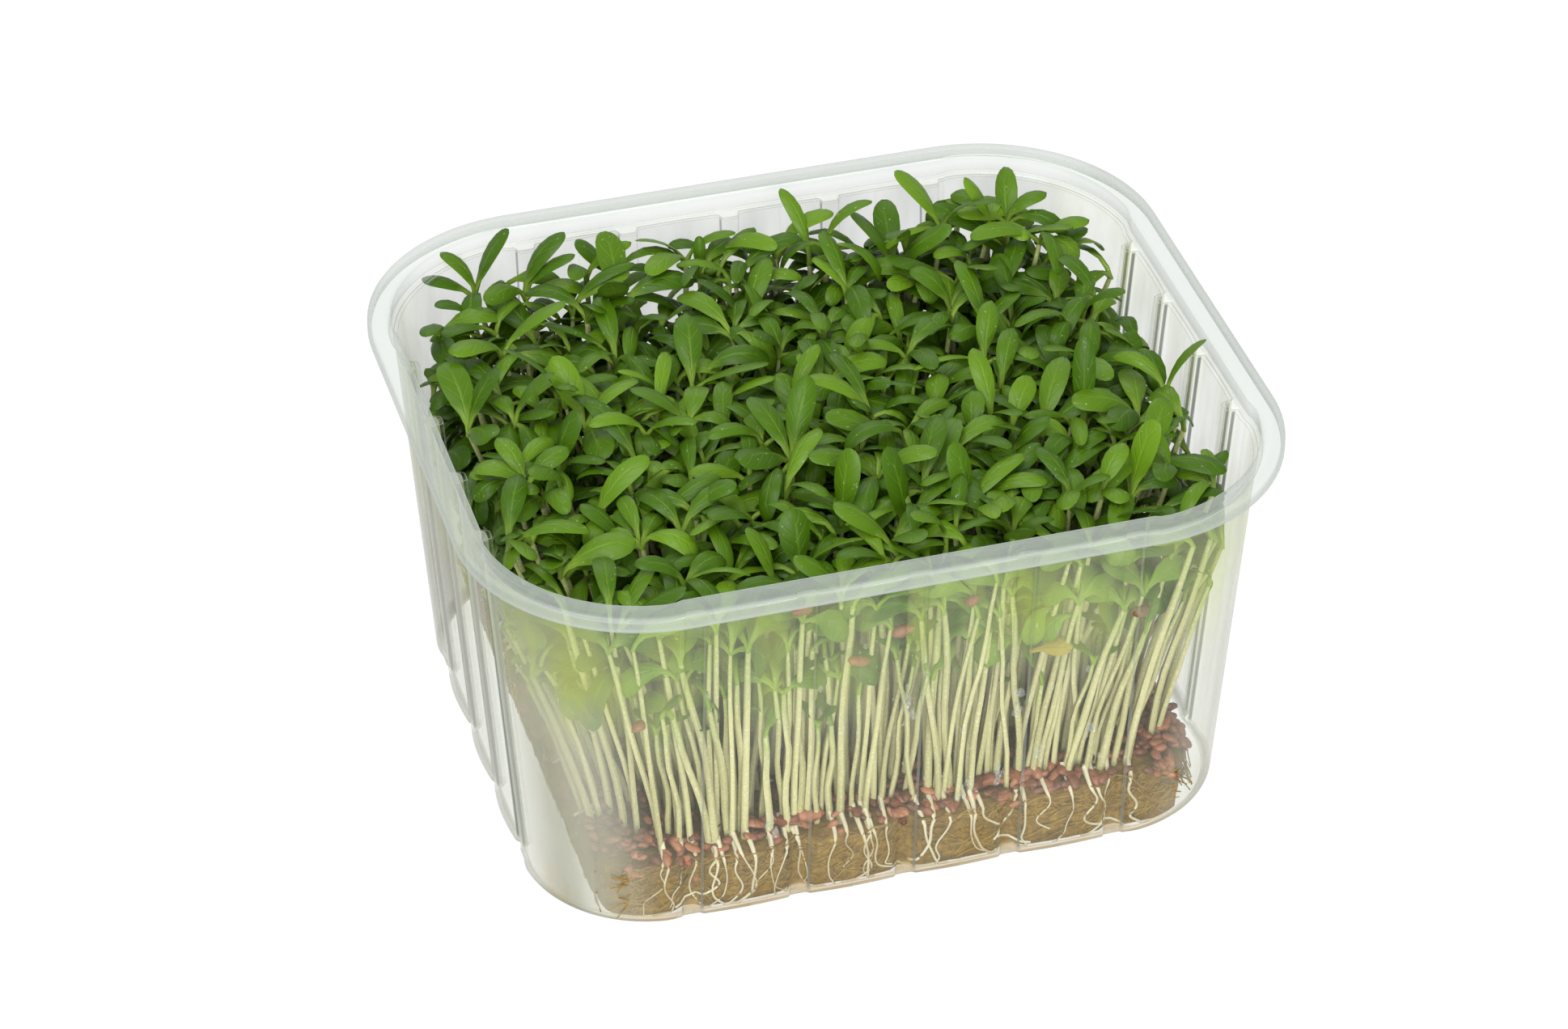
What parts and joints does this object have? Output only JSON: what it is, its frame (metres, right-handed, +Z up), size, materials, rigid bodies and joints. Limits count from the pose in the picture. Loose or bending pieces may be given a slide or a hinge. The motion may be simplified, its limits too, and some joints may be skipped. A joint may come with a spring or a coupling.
{
  "type": "microgreens tray",
  "caption": "Clear rectangular tub with fluted sides and a turned-down rim; a fibre mat on its floor carries garden cress that fans up to a dense green canopy at the mouth.",
  "frame": {"origin": "middle of the tub's flat underside", "axes": "+X along the tub's length, +Y across it, +Z up out of its mouth"},
  "size_m": [0.116, 0.1, 0.0619],
  "materials": {
    "clear_plastic": "clear, slightly milky thin moulded plastic",
    "mat_fibre": "damp ochre-brown fibre mat",
    "seed_hull": "damp red-brown seed coats",
    "cress": "satin green leaves on pale cream stems"
  },
  "bodies": {
    "root": {"tub": "clear_plastic", "growing_mat": "mat_fibre", "seed_hulls_01": "seed_hull", "seed_hulls_02": "seed_hull", "seed_hulls_03": "seed_hull", "seed_hulls_04": "seed_hull", "seed_hulls_05": "seed_hull", "seed_hulls_06": "seed_hull", "seed_hulls_07": "seed_hull", "seed_hulls_08": "seed_hull", "seedlings_01": "cress", "seedlings_02": "cress", "seedlings_03": "cress", "seedlings_04": "cress", "seedlings_05": "cress", "seedlings_06": "cress", "seedlings_07": "cress", "seedlings_08": "cress", "seedlings_09": "cress", "seedlings_10": "cress", "seedlings_11": "cress", "seedlings_12": "cress", "seedlings_13": "cress", "seedlings_14": "cress", "seedlings_15": "cress", "seedlings_16": "cress", "seedlings_17": "cress", "seedlings_18": "cress", "seedlings_19": "cress", "seedlings_20": "cress", "seedlings_21": "cress", "seedlings_22": "cress", "seedlings_23": "cress", "seedlings_24": "cress", "seedlings_25": "cress", "seedlings_26": "cress", "seedlings_27": "cress", "seedlings_28": "cress", "seedlings_29": "cress", "seedlings_30": "cress", "seedlings_31": "cress", "seedlings_32": "cress", "seedlings_33": "cress", "seedlings_34": "cress", "seedlings_35": "cress", "seedlings_36": "cress", "seedlings_37": "cress", "seedlings_38": "cress", "seedlings_39": "cress", "seedlings_40": "cress", "seedlings_41": "cress", "seedlings_42": "cress", "seedlings_43": "cress", "seedlings_44": "cress", "seedlings_45": "cress", "seedlings_46": "cress", "seedlings_47": "cress", "seedlings_48": "cress"}
  },
  "joints": []
}
